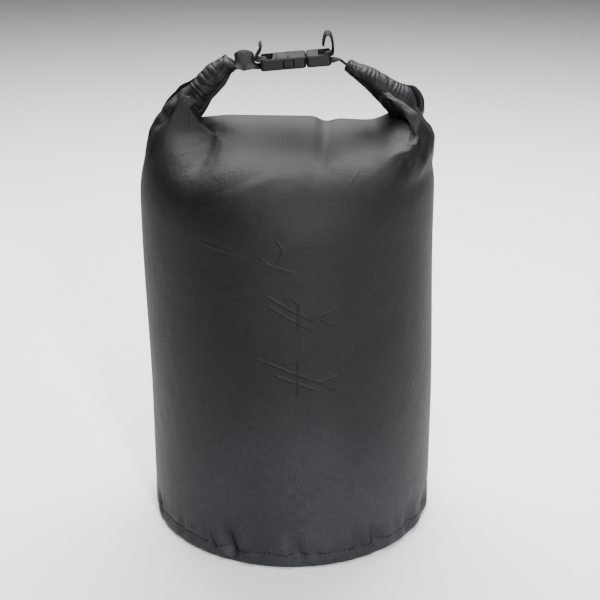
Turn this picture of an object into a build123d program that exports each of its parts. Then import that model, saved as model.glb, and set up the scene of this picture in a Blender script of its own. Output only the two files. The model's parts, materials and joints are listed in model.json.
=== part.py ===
from build123d import *
import os
from math import ceil, cos, pi, radians, sin

# Roll-top dry bag, filled and closed: a sewn tube on a round base, its mouth rolled down,
# and the two ends of the roll turned up and buckled together into a carrying loop.
# Millimetres, +Z up, origin at the middle of the base. The roll lies along X, the back is at +Y.

# ---- Driving dimensions ----
bag_radius = 120.0
body_wall = 1.0
straight_height = 275.0
dome_height = 60.0
dome_steps = 7
mouth_half_depth = 12.0
mouth_side_inset = 14.0

base_thickness = 1.0
seam_allowance = 15.0
allowance_thickness = 0.8
tape_width = 22.0
tape_thickness = 0.3
fit_gap = 0.05

stitch_pitch = 3.6
stitch_length = 2.6
stitch_width = 0.5
stitch_proud = 0.35
side_seam_spacing = 6.0

roll_width = 30.0
roll_thickness = 13.0
roll_gap = 0.5
roll_end_clearance = 2.3
roll_rise_length = 42.0
roll_bend_radius = 40.0

fold_inset = 34.0
end_length = 67.0
end_stations = (0.0, 0.45, 0.75, 1.0)
left_end_widths = (28.0, 32.0, 30.0, 26.0)
left_end_thicknesses = (13.0, 24.0, 20.0, 13.0)
left_end_lean = 11.0
right_end_widths = (34.0, 36.0, 32.0, 26.0)
right_end_thicknesses = (26.0, 27.0, 20.0, 9.0)
right_end_lean = 1.5

webbing_width = 20.0
webbing_thickness = 1.4
stiffener_width = 18.0
stiffener_thickness = 0.8
strip_gap = 0.2
strip_start = 8.0
strip_reach = 4.0
tab_root_length = 12.0
tab_lead = 3.0
tab_approach = 7.0
tab_bend_radius = 2.0
tail_bend_radius = 1.2
left_tail = ((7.0, 1.2), (-0.5, 10.0), (1.5, 13.0))
right_tail = ((3.5, 1.0), (1.0, 15.5), (-3.5, 15.0), (-6.5, 7.0))

buckle_offset = 3.6
buckle_rise = 55.0
buckle_tilt = 5.0
buckle_thickness = 9.0
socket_length = 36.0
plug_length = 19.5
mouth_gap = 0.5
bar_radius = 1.6
bar_inset = 0.4
bar_clearance = 0.3
webbing_play = 0.6
rail_width = 2.9
web_slot_length = 6.8
plate_thickness = 1.8
side_wall = 1.6
window_length = 9.2
mouth_depth = 9.0
rib_width = 1.2
rib_height = 0.8
buckle_corner = 2.5
buckle_edge = 0.9

arm_root_radius = 1.7
arm_root_clearance = 0.05
arm_root_inset = 4.5
arm_root_depth = 2.6
arm_thickness = 4.6
arm_width = 2.0
arm_play = 0.6
pad_inset = 0.3
pad_depth = 5.4
guide_width = 4.8
guide_thickness = 3.2

# ---- Places worked out from the driving dimensions ----
body_height = straight_height + dome_height
roll_z = body_height + roll_gap + roll_thickness / 2
left_fold = Vector(fold_inset - bag_radius, 0, roll_z)

buckle_along = Vector(cos(radians(buckle_tilt)), 0, sin(radians(buckle_tilt)))
buckle_up = Vector(-sin(radians(buckle_tilt)), 0, cos(radians(buckle_tilt)))
buckle_centre = Vector(buckle_offset, 0, roll_z + buckle_rise)
buckle_plane = Plane(origin=buckle_centre, x_dir=buckle_along, z_dir=buckle_up)
buckle_axis = Axis(buckle_centre, buckle_up)
half_buckle = (socket_length + mouth_gap + plug_length) / 2
buckle_width = webbing_width + 2 * (webbing_play + rail_width)
bar_place = half_buckle - bar_inset - bar_radius
left_bar = buckle_centre - buckle_along * bar_place
right_bar = buckle_centre + buckle_along * bar_place

# The right fold mirrors the left one about the buckle's middle, so that the two halves part
# straight along the buckle as both roll ends swing out.
left_reach = left_fold - buckle_centre
right_fold = buckle_centre + left_reach - buckle_along * (2 * left_reach.dot(buckle_along))

strip_slot = webbing_thickness + stiffener_thickness + 3 * strip_gap
webbing_offset = strip_slot / 2 - strip_gap - webbing_thickness / 2
stiffener_offset = -strip_slot / 2 + strip_gap + stiffener_thickness / 2
loop_radius = bar_radius + bar_clearance + webbing_thickness / 2


def finish(builder, name):
    """Labels a finished piece and writes it."""
    builder.part.label = name
    export_step(builder.part, f"parts/{name}.step")


def dome_section(step):
    """Height and half sizes of the bag's outline at one step up the dome."""
    turn = radians(90 * step / dome_steps)
    height = straight_height + dome_height * sin(turn)
    half_width = bag_radius - mouth_side_inset * (step / dome_steps) ** 2
    half_depth = mouth_half_depth + (bag_radius - mouth_half_depth) * cos(turn)
    return height, half_width, half_depth


body_sections = [(0.0, bag_radius, bag_radius)] + [dome_section(s) for s in range(dome_steps + 1)]

os.makedirs("parts", exist_ok=True)

# ---- Body panel: one coated sheet sewn into a tube, drawn together under the roll ----
with BuildPart() as body_panel:
    for height, half_width, half_depth in body_sections:
        with BuildSketch(Plane.XY.offset(height)):
            Ellipse(half_width, half_depth)
    loft(ruled=True)
    for height, half_width, half_depth in body_sections:
        with BuildSketch(Plane.XY.offset(height)):
            Ellipse(half_width - body_wall, half_depth - body_wall)
    loft(ruled=True, mode=Mode.SUBTRACT)
finish(body_panel, "body_panel")

# ---- Base panel: a round sheet with its seam allowance turned up inside the tube ----
base_radius = bag_radius - body_wall - fit_gap
with BuildPart() as base_panel:
    with BuildSketch():
        Circle(base_radius)
    extrude(amount=seam_allowance)
    with BuildSketch(Plane.XY.offset(base_thickness)):
        Circle(base_radius - allowance_thickness)
    extrude(amount=seam_allowance, mode=Mode.SUBTRACT)
finish(base_panel, "base_panel")

# ---- Seam tapes, heat-sealed inside over the base seam and the back seam ----
base_tape_radius = base_radius - allowance_thickness - fit_gap
base_tape_bottom = base_thickness + fit_gap
base_tape_top = base_tape_bottom + tape_width
with BuildPart() as base_seam_tape:
    with BuildSketch(Plane.XY.offset(base_tape_bottom)):
        Circle(base_tape_radius)
        Circle(base_tape_radius - tape_thickness, mode=Mode.SUBTRACT)
    extrude(amount=tape_width)
finish(base_seam_tape, "base_seam_tape")

side_tape_radius = bag_radius - body_wall - fit_gap
with BuildPart() as side_seam_tape:
    with BuildSketch(Plane.XY.offset(base_tape_top + fit_gap)):
        Circle(side_tape_radius)
        Circle(side_tape_radius - tape_thickness, mode=Mode.SUBTRACT)
        with Locations((0, side_tape_radius)):
            Rectangle(tape_width, side_tape_radius, mode=Mode.INTERSECT)
    extrude(amount=straight_height - base_tape_top - fit_gap)
finish(side_seam_tape, "side_seam_tape")

# ---- Thread: the row round the base and the two rows down the back seam ----
base_stitches = ceil(2 * pi * bag_radius / stitch_pitch)
with BuildPart() as base_seam_thread:
    with BuildSketch(Plane.XY.offset(seam_allowance - stitch_width)):
        with PolarLocations(bag_radius + stitch_proud / 2, base_stitches):
            Rectangle(stitch_proud, stitch_length)
        Circle(bag_radius, mode=Mode.SUBTRACT)
    extrude(amount=stitch_width)
finish(base_seam_thread, "base_seam_thread")

side_stitch_bottom = seam_allowance + stitch_pitch
side_stitches = int((straight_height - side_stitch_bottom) / stitch_pitch)
side_stitch_middle = side_stitch_bottom + (side_stitches - 1) * stitch_pitch / 2
with BuildPart() as side_seam_thread:
    with BuildSketch(Plane.XZ.offset(-bag_radius)):
        with Locations((0, side_stitch_middle)):
            with GridLocations(side_seam_spacing, stitch_pitch, 2, side_stitches):
                Rectangle(stitch_width, stitch_length)
    extrude(amount=-stitch_proud)
finish(side_seam_thread, "side_seam_thread")

# ---- Roll ends' directions: they turn up at the folds, towards the buckle's bars ----
def end_frame(fold, bar, lean, side):
    """The plane at a fold whose normal runs up the roll end, leaning up from the line to the bar."""
    way = (bar - fold).normalized()
    raised = Vector(way.X, 0, way.Z).rotate(Axis.Y, -side * lean)
    return Plane(origin=fold, x_dir=(0, side, 0), z_dir=raised)


left_plane = end_frame(left_fold, left_bar, left_end_lean, 1)
right_plane = end_frame(right_fold, right_bar, right_end_lean, -1)
roll_way = Vector(1, 0, 0)
rise_start = Vector(right_fold.X - roll_rise_length, 0, roll_z)
rise_way = (right_fold - rise_start).normalized()


def end_gap(plane, way, thicknesses):
    """How far from a fold the roll stops, for its upper corner to clear the underside of the roll end."""
    turn = radians(plane.z_dir.get_angle(way))
    flare = (thicknesses[1] - thicknesses[0]) / 2 / (end_stations[1] * end_length)
    corner = roll_thickness / 2 * (cos(turn) + flare * sin(turn))
    return (roll_end_clearance + thicknesses[0] / 2 + corner) / (sin(turn) - flare * cos(turn))


left_roll_gap = end_gap(left_plane, roll_way, left_end_thicknesses)
right_roll_gap = end_gap(right_plane, -rise_way, right_end_thicknesses)


# ---- Rolled top: the middle of the rolled mouth, hollow round the two mouth strips ----
def roll_line(left_gap, right_gap):
    """The roll's centreline, stopping short of each fold."""
    with BuildLine() as line:
        FilletPolyline(
            left_fold + roll_way * left_gap,
            rise_start,
            right_fold - rise_way * right_gap,
            radius=roll_bend_radius,
        )
    return line.line


def roll_section(left_gap):
    """The plane across the roll at its start: local X is the roll's width and local Y its height."""
    return Plane(origin=left_fold + roll_way * left_gap, x_dir=(0, 1, 0), z_dir=roll_way)


with BuildPart() as rolled_top:
    with BuildSketch(roll_section(left_roll_gap)):
        SlotOverall(roll_width, roll_thickness)
        Rectangle(webbing_width + 2 * strip_gap, strip_slot, mode=Mode.SUBTRACT)
    sweep(path=roll_line(left_roll_gap, right_roll_gap))
finish(rolled_top, "rolled_top")

for name, width, thickness, offset in (
    ("mouth_webbing_middle", webbing_width, webbing_thickness, webbing_offset),
    ("mouth_stiffener_middle", stiffener_width, stiffener_thickness, stiffener_offset),
):
    with BuildPart() as middle_strip:
        with BuildSketch(roll_section(left_roll_gap - strip_reach)):
            with Locations((0, offset)):
                Rectangle(width, thickness)
        sweep(path=roll_line(left_roll_gap - strip_reach, right_roll_gap - strip_reach))
    finish(middle_strip, name)


# ---- Roll ends: they taper from the folds to the buckle tabs ----
def roll_end(plane, widths, thicknesses):
    """A tapered end of the roll: round about its fold, and hollow round the strips and the tab."""
    with BuildPart() as end:
        for station, width, thickness in zip(end_stations, widths, thicknesses):
            with BuildSketch(plane.offset(station * end_length)):
                Ellipse(width / 2, thickness / 2)
        loft(ruled=True)
        with BuildSketch(Plane(origin=plane.origin, x_dir=(1, 0, 0), z_dir=(0, 1, 0)).offset(-widths[0] / 4)):
            Circle(thicknesses[0] / 2)
        extrude(amount=widths[0] / 2)
        with BuildSketch(plane.offset(strip_start)):
            Rectangle(webbing_width + 2 * strip_gap, strip_slot)
        extrude(amount=end_length - tab_root_length - strip_start, mode=Mode.SUBTRACT)
        with BuildSketch(plane.offset(end_length - tab_root_length)):
            Rectangle(webbing_width + 2 * strip_gap, webbing_thickness + 2 * fit_gap)
        extrude(amount=2 * tab_root_length, mode=Mode.SUBTRACT)
    return end


def end_strip(plane, width, thickness, offset):
    """One mouth strip inside a roll end, stopping where the buckle tab starts."""
    with BuildPart() as strip:
        with BuildSketch(plane.offset(strip_start + strip_gap)):
            with Locations((0, offset)):
                Rectangle(width, thickness)
        extrude(amount=end_length - tab_root_length - strip_start - 2 * strip_gap)
    return strip


for side, plane, widths, thicknesses in (
    ("left", left_plane, left_end_widths, left_end_thicknesses),
    ("right", right_plane, right_end_widths, right_end_thicknesses),
):
    finish(roll_end(plane, widths, thicknesses), f"{side}_roll_end")
    finish(end_strip(plane, webbing_width, webbing_thickness, webbing_offset), f"mouth_webbing_{side}")
    finish(end_strip(plane, stiffener_width, stiffener_thickness, stiffener_offset), f"mouth_stiffener_{side}")


# ---- Buckle tabs: webbing sewn into each roll end, round the buckle's bar and standing up ----
def flat(point):
    """A point of the XZ plane as that plane's own two coordinates."""
    return (point.X, point.Z)


def tab(plane, bar, side, tail):
    """Webbing out of the roll end, under the bar, round it and into a free tail."""
    root = plane.origin + plane.z_dir * (end_length - tab_root_length)
    lead_end = plane.origin + plane.z_dir * (end_length + tab_lead)
    outward = buckle_along * -side
    under = bar - buckle_up * loop_radius
    over = bar + buckle_up * loop_radius
    approach = under + outward * tab_approach
    turns = [over + outward * away + buckle_up * rise for away, rise in tail]
    with BuildPart() as webbing:
        with BuildSketch(Plane.XZ):
            with BuildLine():
                FilletPolyline(flat(root), flat(lead_end), flat(approach), flat(under), radius=tab_bend_radius)
                ThreePointArc(flat(under), flat(bar - outward * loop_radius), flat(over))
                FilletPolyline(flat(over), *[flat(turn) for turn in turns], radius=tail_bend_radius)
            trace(line_width=webbing_thickness)
        extrude(amount=webbing_width / 2, both=True)
    return webbing


finish(tab(left_plane, left_bar, 1, left_tail), "left_webbing_tab")
finish(tab(right_plane, right_bar, -1, right_tail), "right_webbing_tab")

# ---- Buckle socket: the hollow half, on the left roll end ----
socket_start = -half_buckle
socket_mouth = socket_start + socket_length
slot_end = socket_start + 2 * bar_radius + web_slot_length
cavity_start = slot_end + plate_thickness
cavity_half_height = buckle_thickness / 2 - plate_thickness
cavity_half_width = buckle_width / 2 - side_wall
window_end = socket_mouth - mouth_depth
window_start = window_end - window_length
slot_half_width = webbing_width / 2 + webbing_play
bar_half_length = buckle_width / 2 - rail_width / 2


def bar_section(place):
    """The plane across a web bar, at its front end."""
    centre = buckle_centre + buckle_along * place
    return Plane(origin=centre, x_dir=buckle_along, z_dir=(0, 1, 0)).offset(-bar_half_length)


def half_outline(start, end):
    """One half's outline seen from above, with rounded corners."""
    with BuildSketch() as outline:
        with Locations(((start + end) / 2, 0)):
            RectangleRounded(end - start, buckle_width, buckle_corner)
    return outline.sketch


with BuildPart() as buckle_socket:
    with BuildSketch(buckle_plane.offset(-buckle_thickness / 2)):
        add(half_outline(socket_start, socket_mouth))
    extrude(amount=buckle_thickness)
    chamfer(buckle_socket.faces().sort_by(buckle_axis)[-1].edges(), buckle_edge)
    chamfer(buckle_socket.faces().sort_by(buckle_axis)[0].edges(), buckle_edge)
    for start, end, half_width, half_height in (
        (socket_start - plate_thickness, slot_end, slot_half_width, buckle_thickness),
        (cavity_start, socket_mouth + plate_thickness, cavity_half_width, cavity_half_height),
        (window_start, window_end, buckle_width, cavity_half_height),
    ):
        with BuildSketch(buckle_plane.offset(-half_height)):
            with Locations(((start + end) / 2, 0)):
                Rectangle(end - start, 2 * half_width)
        extrude(amount=2 * half_height, mode=Mode.SUBTRACT)
    with BuildSketch(bar_section(-bar_place)):
        Circle(bar_radius)
    extrude(amount=2 * bar_half_length)
    with BuildSketch(buckle_plane.offset(buckle_thickness / 2 - rib_height)):
        with Locations(*[(place, 0) for place in (cavity_start + rib_width, (window_start + window_end) / 2)]):
            Rectangle(rib_width, slot_half_width * 2)
    extrude(amount=2 * rib_height)
finish(buckle_socket, "buckle_socket")

# ---- Buckle plug: the shouldered half, on the right roll end ----
plug_start = socket_mouth + mouth_gap
plug_end = plug_start + plug_length
plug_slot_start = plug_end - 2 * bar_radius - web_slot_length
arm_root = plug_start + arm_root_depth
arm_root_offset = buckle_width / 2 - arm_root_inset
guide_tip = cavity_start + 2 * arm_play

with BuildPart() as buckle_plug:
    with BuildSketch(buckle_plane.offset(-buckle_thickness / 2)):
        add(half_outline(plug_start, plug_end))
    extrude(amount=buckle_thickness)
    chamfer(buckle_plug.faces().sort_by(buckle_axis)[-1].edges(), buckle_edge)
    chamfer(buckle_plug.faces().sort_by(buckle_axis)[0].edges(), buckle_edge)
    with BuildSketch(buckle_plane.offset(-buckle_thickness)):
        with Locations(((plug_slot_start + plug_end + plate_thickness) / 2, 0)):
            Rectangle(plug_end + plate_thickness - plug_slot_start, 2 * slot_half_width)
    extrude(amount=2 * buckle_thickness, mode=Mode.SUBTRACT)
    with BuildSketch(bar_section(bar_place)):
        Circle(bar_radius)
    extrude(amount=2 * bar_half_length)
    with BuildSketch(buckle_plane.offset(-guide_thickness / 2)):
        with Locations(((guide_tip + plug_start + plate_thickness) / 2, 0)):
            Rectangle(plug_start + plate_thickness - guide_tip, guide_width)
    extrude(amount=guide_thickness)
    with BuildSketch(buckle_plane.offset(-arm_thickness / 2 - arm_root_clearance)):
        with Locations((arm_root, -arm_root_offset), (arm_root, arm_root_offset)):
            Circle(arm_root_radius + arm_root_clearance)
        with Locations((plug_start, -arm_root_offset), (plug_start, arm_root_offset)):
            Rectangle(2 * arm_root_depth, arm_width + 2 * arm_play)
    extrude(amount=arm_thickness + 2 * arm_root_clearance, mode=Mode.SUBTRACT)
finish(buckle_plug, "buckle_plug")

# ---- Latch arms: they spring from the plug's shoulder, and their pads fill the socket's windows ----
pad_start = window_start + arm_play
pad_end = window_end - arm_play
pad_middle = buckle_width / 2 - pad_inset - pad_depth / 2
for way, name in ((-1, "front_latch_arm"), (1, "rear_latch_arm")):
    with BuildPart() as latch_arm:
        with BuildSketch(buckle_plane.offset(-arm_thickness / 2)):
            with Locations((arm_root, way * arm_root_offset)):
                Circle(arm_root_radius)
            with Locations(((pad_end + arm_root) / 2 - arm_play, way * arm_root_offset)):
                Rectangle(arm_root - pad_end + 2 * arm_play, arm_width)
            with Locations(((pad_start + pad_end) / 2, way * pad_middle)):
                RectangleRounded(pad_end - pad_start, pad_depth, buckle_edge)
        extrude(amount=arm_thickness)
    finish(latch_arm, name)

print("folds", left_fold, right_fold)
print("bars", left_bar, right_bar)
print("arm root", buckle_centre + buckle_along * arm_root, "across by", arm_root_offset)
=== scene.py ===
import json
import math

import bpy
import numpy as np
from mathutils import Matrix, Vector


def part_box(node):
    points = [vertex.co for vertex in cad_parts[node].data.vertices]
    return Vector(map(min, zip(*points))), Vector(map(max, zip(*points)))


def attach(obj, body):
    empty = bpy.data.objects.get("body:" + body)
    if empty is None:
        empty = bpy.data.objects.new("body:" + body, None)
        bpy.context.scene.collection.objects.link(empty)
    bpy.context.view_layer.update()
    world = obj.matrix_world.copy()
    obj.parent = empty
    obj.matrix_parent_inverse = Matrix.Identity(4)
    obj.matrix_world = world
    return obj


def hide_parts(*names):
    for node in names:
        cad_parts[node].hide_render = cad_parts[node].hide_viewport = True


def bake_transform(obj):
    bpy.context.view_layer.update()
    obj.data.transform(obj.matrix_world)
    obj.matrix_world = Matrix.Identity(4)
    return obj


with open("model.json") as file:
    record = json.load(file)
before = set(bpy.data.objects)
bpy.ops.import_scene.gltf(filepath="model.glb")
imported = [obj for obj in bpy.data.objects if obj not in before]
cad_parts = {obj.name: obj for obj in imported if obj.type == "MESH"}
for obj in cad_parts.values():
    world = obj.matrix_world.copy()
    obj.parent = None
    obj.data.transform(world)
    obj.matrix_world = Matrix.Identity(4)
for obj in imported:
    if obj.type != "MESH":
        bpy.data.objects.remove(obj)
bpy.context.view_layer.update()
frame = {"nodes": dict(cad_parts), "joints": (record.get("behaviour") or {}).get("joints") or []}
pivots = {joint["name"]: np.array(joint["pos_m"]) for joint in frame["joints"]}
leftFold, rightFold = pivots["left_roll_swing"], pivots["right_roll_swing"]
leftBar, rightBar = pivots["socket_turn"], pivots["plug_turn"]
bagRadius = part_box("body_panel")[1].x
print("frame loaded, bag radius", round(bagRadius, 4))

# centreline and section of the rolled mouth, from its left tip to its right tip
rolledMouth = {
    "endLength": 0.067,
    "leftLean": math.radians(11),
    "rightLean": math.radians(1.5),
    "riseLength": 0.034,
    "smoothing": 6,  # in steps
    "step": 0.001,
    "wayReach": 0.002,
    "frontAngle": 84,  # where the front panel runs onto the roll, 90 is its top
    "endAngle": 66,
    "backAngle": 205,
    "middleFrom": (0.085, 0.125),  # cloth distance from a tip
    "tipBlend": 0.05,
    "rows": 34,
    "rowTurn": 10.3,
    "rowShrink": 0.0045,
    "rowCloth": 0.0026,
    "tipInset": 0.002,
    "endRipple": 0.0006,
    "rippleTurns": (620, 1010),  # radians for each metre along the mouth
    "leftRipple": 0.8,
    "rightRipple": 0.4,
    "ripplesFade": 0.012,
    # how far each end stands off its centreline towards the outside, by distance from its tip
    "leftShift": ([0, 0.008, 0.035, 0.058, 0.072], [0.0030, 0.0070, 0.0085, 0.0030, 0]),
    "rightShift": ([0, 0.020, 0.045, 0.056, 0.072], [0.0, 0.0010, -0.0020, -0.0030, 0]),
}


def unit(vector):
    return vector / np.linalg.norm(vector, axis=-1, keepdims=True)


def turned(way, angle):
    c, s = math.cos(angle), math.sin(angle)
    return np.array([way[0] * c - way[2] * s, 0.0, way[0] * s + way[2] * c])


def smoothStep(value, low, high):
    t = np.clip((value - low) / (high - low), 0, 1)
    return t * t * (3 - 2 * t)


def smoothed(points, spread):
    reach = int(3 * spread)
    weights = np.exp(-0.5 * (np.arange(-reach, reach + 1) / spread) ** 2)
    weights /= weights.sum()
    before = 2 * points[0] - points[reach:0:-1]
    after = 2 * points[-1] - points[-2:-reach - 2:-1]
    padded = np.concatenate([before, points, after])
    return np.stack([np.convolve(padded[:, k], weights, mode="valid") for k in range(3)], axis=1)


def pathLength(points):
    # how far along the path each point is
    return np.concatenate([[0], np.cumsum(np.linalg.norm(np.diff(points, axis=0), axis=1))])


leftWay = turned(unit(leftBar - leftFold), rolledMouth["leftLean"])
rightWay = turned(unit(rightBar - rightFold), -rolledMouth["rightLean"])
leftTip = leftFold + leftWay * rolledMouth["endLength"]
rightTip = rightFold + rightWay * rolledMouth["endLength"]
riseStart = np.array([rightFold[0] - rolledMouth["riseLength"], 0.0, leftFold[2]])
corners = [leftTip, leftFold, riseStart, rightFold, rightTip]
route = []
for a, b in zip(corners[:-1], corners[1:]):
    count = max(2, int(np.linalg.norm(b - a) / rolledMouth["step"]))
    route += [a + (b - a) * k / count for k in range(count)]
route = smoothed(np.array(route + [rightTip]), rolledMouth["smoothing"])
alongRoute = pathLength(route)
mouthLength = alongRoute[-1]
leftFoldAt = alongRoute[np.argmin(np.linalg.norm(route - leftFold, axis=1))]
rightFoldAt = alongRoute[np.argmin(np.linalg.norm(route - rightFold, axis=1))]
halfRound = math.pi * bagRadius


def onRoute(at):
    return np.stack([np.interp(at, alongRoute, route[:, k]) for k in range(3)], axis=-1)


def mouthPlace(across):
    # across is measured on the cloth: 0 at the left tip, 1 at the right tip
    cloth = np.asarray(across) * halfRound
    middle = rightFoldAt - leftFoldAt
    side = (halfRound - middle) / 2
    at = np.interp(cloth, [0, side, side + middle, halfRound], [0, leftFoldAt, rightFoldAt, mouthLength])
    way = unit(onRoute(at + rolledMouth["wayReach"]) - onRoute(at - rolledMouth["wayReach"]))
    up = np.stack([-way[:, 2], np.zeros(len(way)), way[:, 0]], axis=1)
    shift = np.interp(at, *rolledMouth["leftShift"]) + np.interp(mouthLength - at, *rolledMouth["rightShift"])
    return at, onRoute(at) - up * shift[:, None], way, up


# distance along the route, half thickness and half width; the top steps down right of the middle
rollSections = [
    (0, 0.0082, 0.0120), (0.02, 0.0115, 0.0145), (0.045, 0.0110, 0.0160), (leftFoldAt, 0.0070, 0.0150),
    (leftFoldAt + 0.03, 0.0100, 0.0126), (leftFoldAt + 0.103, 0.0090, 0.0126),
    (leftFoldAt + 0.109, 0.0030, 0.0126), (leftFoldAt + 0.120, 0.0068, 0.0126),
    (rightFoldAt - 0.03, 0.0048, 0.0126), (rightFoldAt, 0.0060, 0.0150),
    (mouthLength - 0.055, 0.0148, 0.0175), (mouthLength - 0.042, 0.0118, 0.0175),
    (mouthLength - 0.02, 0.0085, 0.0150), (mouthLength, 0.0055, 0.0115),
]


def mouthSize(at):
    stations, thick, wide = zip(*rollSections)
    return np.interp(at, stations, thick), np.interp(at, stations, wide)


def onMouth(place, up, thick, wide, angle):
    point = place + up * (thick * np.sin(angle))[:, None]
    point[:, 1] -= wide * np.cos(angle)
    return point


# the sewn tube of coated cloth: a straight wall, and a slope that closes onto the roll
bagCloth = {
    "around": 160,
    "slopeRows": 36,
    "wallHeight": 0.275,
    "rowHeight": 0.0049,
    "cornerHeights": [0, 0.0016, 0.0045, 0.0090, 0.0148, 0.0185, 0.0230],
    "cornerRadii": [0.1145, 0.1178, 0.1196, 0.1201, 0.1190, 0.1200, 0.1200],
    "seamRow": 4,  # the one of these rows that is stitched to the base
    "frontRise": 0.067,
    "sideRise": 0.080,
    "backRise": 0.042,
    "frontReach": 0.058,
    "sideReach": 0.038,
    "hornReach": 0.030,
    "sidePower": 40,
    "curvePoints": 160,
    "frontArrival": (0, 0.965, 0.26),  # how the slope comes onto the roll
    "backArrival": (0, -0.85, 0.5),
    "backSize": 0.88,
    "middleFrom": (0.075, 0.13),  # cloth distance from a tip
    "hornFrom": (0.06, 0.12),
    "tipFrom": (0.02, 0.14),
    # the left shoulder laps over the slope in a lip: turn in degrees, then its place
    "lip": [(14, -0.0930, -0.0080, 0.3740), (22, -0.0880, -0.0140, 0.3750), (30, -0.0820, -0.0175, 0.3625),
            (39, -0.0720, -0.0225, 0.3540), (48, -0.0610, -0.0325, 0.3455), (57, -0.0490, -0.0440, 0.3420)],
    "lipFrom": (12, 21),
    "lipUntil": (47, 68),
    "lipRise": 0.068,
    "lipSag": 0.0065,
    "lipBelow": 0.034,
    "lipTurn": (0, 0.02, 0.06),
    "girth": 0.1203,
    "give": 1 / 6,  # share kept of what stands past the girth
    "lean": -0.0035,
    "leanFrom": (0.10, 0.27),
    "leanUntil": (0.31, 0.345),
}
around = bagCloth["around"]
half = around // 2
turn = np.arange(around) * 2 * math.pi / around  # 0 left, 90 degrees front, 180 right, 270 back
onFront = turn <= math.pi + 1e-6
across = np.where(onFront, turn / math.pi, 2 - turn / math.pi)
mouthAt, mouthCentre, mouthWay, mouthUp = mouthPlace(across)
mouthThick, mouthWide = mouthSize(mouthAt)
fromTip = np.minimum(across, 1 - across)
tipShare = np.clip(1 - fromTip / rolledMouth["tipBlend"], 0, 1)
middleShare = smoothStep(fromTip * halfRound, *rolledMouth["middleFrom"])
ontoRoll = rolledMouth["endAngle"] + (rolledMouth["frontAngle"] - rolledMouth["endAngle"]) * middleShare
mouthAngle = np.radians(np.where(onFront, ontoRoll, rolledMouth["backAngle"]))
mouthAngle = mouthAngle * (1 - tipShare) + np.radians(np.where(onFront, -90, 270)) * tipShare


def wallShape():
    corner = bagCloth["cornerHeights"]
    rest = int((bagCloth["wallHeight"] - corner[-1]) / bagCloth["rowHeight"])
    heights = np.concatenate([corner, np.linspace(corner[-1], bagCloth["wallHeight"], rest + 1)[1:]])
    radii = np.interp(heights, corner, bagCloth["cornerRadii"])
    wall = np.zeros((len(heights), around, 3))
    wall[:, :, 0] = -radii[:, None] * np.cos(turn)
    wall[:, :, 1] = -radii[:, None] * np.sin(turn)
    wall[:, :, 2] = heights[:, None]
    return wall


def bezier(first, second, third, fourth, t):
    u = 1 - t
    return first * u ** 3 + second * 3 * t * u ** 2 + third * 3 * t * t * u + fourth * t ** 3


def evenRows(curve):
    rows = np.zeros((bagCloth["slopeRows"], around, 3))
    for j in range(around):
        run = pathLength(curve[:, j])
        at = np.linspace(0, run[-1], bagCloth["slopeRows"] + 1)[1:]
        rows[:, j] = np.stack([np.interp(at, run, curve[:, j, k]) for k in range(3)], axis=1)
    return rows


def slopeShape(foot):
    # one smooth curve for each column of cloth, from the wall's top to the roll
    end = onMouth(mouthCentre, mouthUp, mouthThick, mouthWide, mouthAngle)
    size = bagCloth["backSize"]
    backEnd = onMouth(mouthCentre, mouthUp, mouthThick * size, mouthWide * size, mouthAngle)
    end[~onFront] = backEnd[~onFront]
    sense = np.where(onFront, 1.0, -1.0)
    arrive = mouthUp * (mouthThick * np.cos(mouthAngle) * sense)[:, None]
    arrive[:, 1] += mouthWide * np.sin(mouthAngle) * sense
    arrive = unit(arrive)
    middle = smoothStep(fromTip * halfRound, *bagCloth["middleFrom"])
    level = np.where(onFront[:, None], bagCloth["frontArrival"], bagCloth["backArrival"])
    arrive = unit(arrive * (1 - middle[:, None]) + level * middle[:, None])
    toTip = np.where(across[:, None] < 0.5, -mouthWay, mouthWay)
    atTip = 1 - smoothStep(fromTip, *bagCloth["tipFrom"])
    arrive = unit(arrive * (1 - atTip[:, None]) + toTip * atTip[:, None])
    sideShare = np.cos(turn) ** 2
    atSide = np.abs(np.cos(turn)) ** bagCloth["sidePower"]
    back = bagCloth["backRise"] + (bagCloth["sideRise"] - bagCloth["backRise"]) * atSide
    side = np.where(onFront, bagCloth["sideRise"], back)
    rise = bagCloth["frontRise"] * (1 - sideShare) + side * sideShare
    onHorn = 1 - smoothStep(fromTip * halfRound, *bagCloth["hornFrom"])
    reach = bagCloth["frontReach"] * (1 - onHorn) + bagCloth["hornReach"] * onHorn
    reach = reach * (1 - atTip) + bagCloth["sideReach"] * atTip
    first = foot + np.stack([0 * rise, 0 * rise, rise], axis=1)
    second = end - arrive * reach[:, None]
    t = np.linspace(0, 1, bagCloth["curvePoints"])[:, None, None]
    plain = evenRows(bezier(foot, first, second, end, t))
    lip = np.array(bagCloth["lip"])
    edge = np.stack([np.interp(turn, np.radians(lip[:, 0]), lip[:, k]) for k in (1, 2, 3)], axis=1)
    upright = foot + np.array([0, 0, bagCloth["lipRise"]])
    below = edge - unit(edge - foot + np.array(bagCloth["lipTurn"])) * bagCloth["lipBelow"]
    behind = (edge + end) / 2 - np.array([0, 0, bagCloth["lipSag"]])
    over = edge * (1 - t) ** 2 + behind * 2 * t * (1 - t) + end * t * t
    lapped = evenRows(np.concatenate([bezier(foot, upright, below, edge, t), over[1:]]))
    degrees = np.degrees(turn)
    share = smoothStep(degrees, *bagCloth["lipFrom"]) * (1 - smoothStep(degrees, *bagCloth["lipUntil"]))
    return plain * (1 - share[:, None]) + lapped * share[:, None], share


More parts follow.
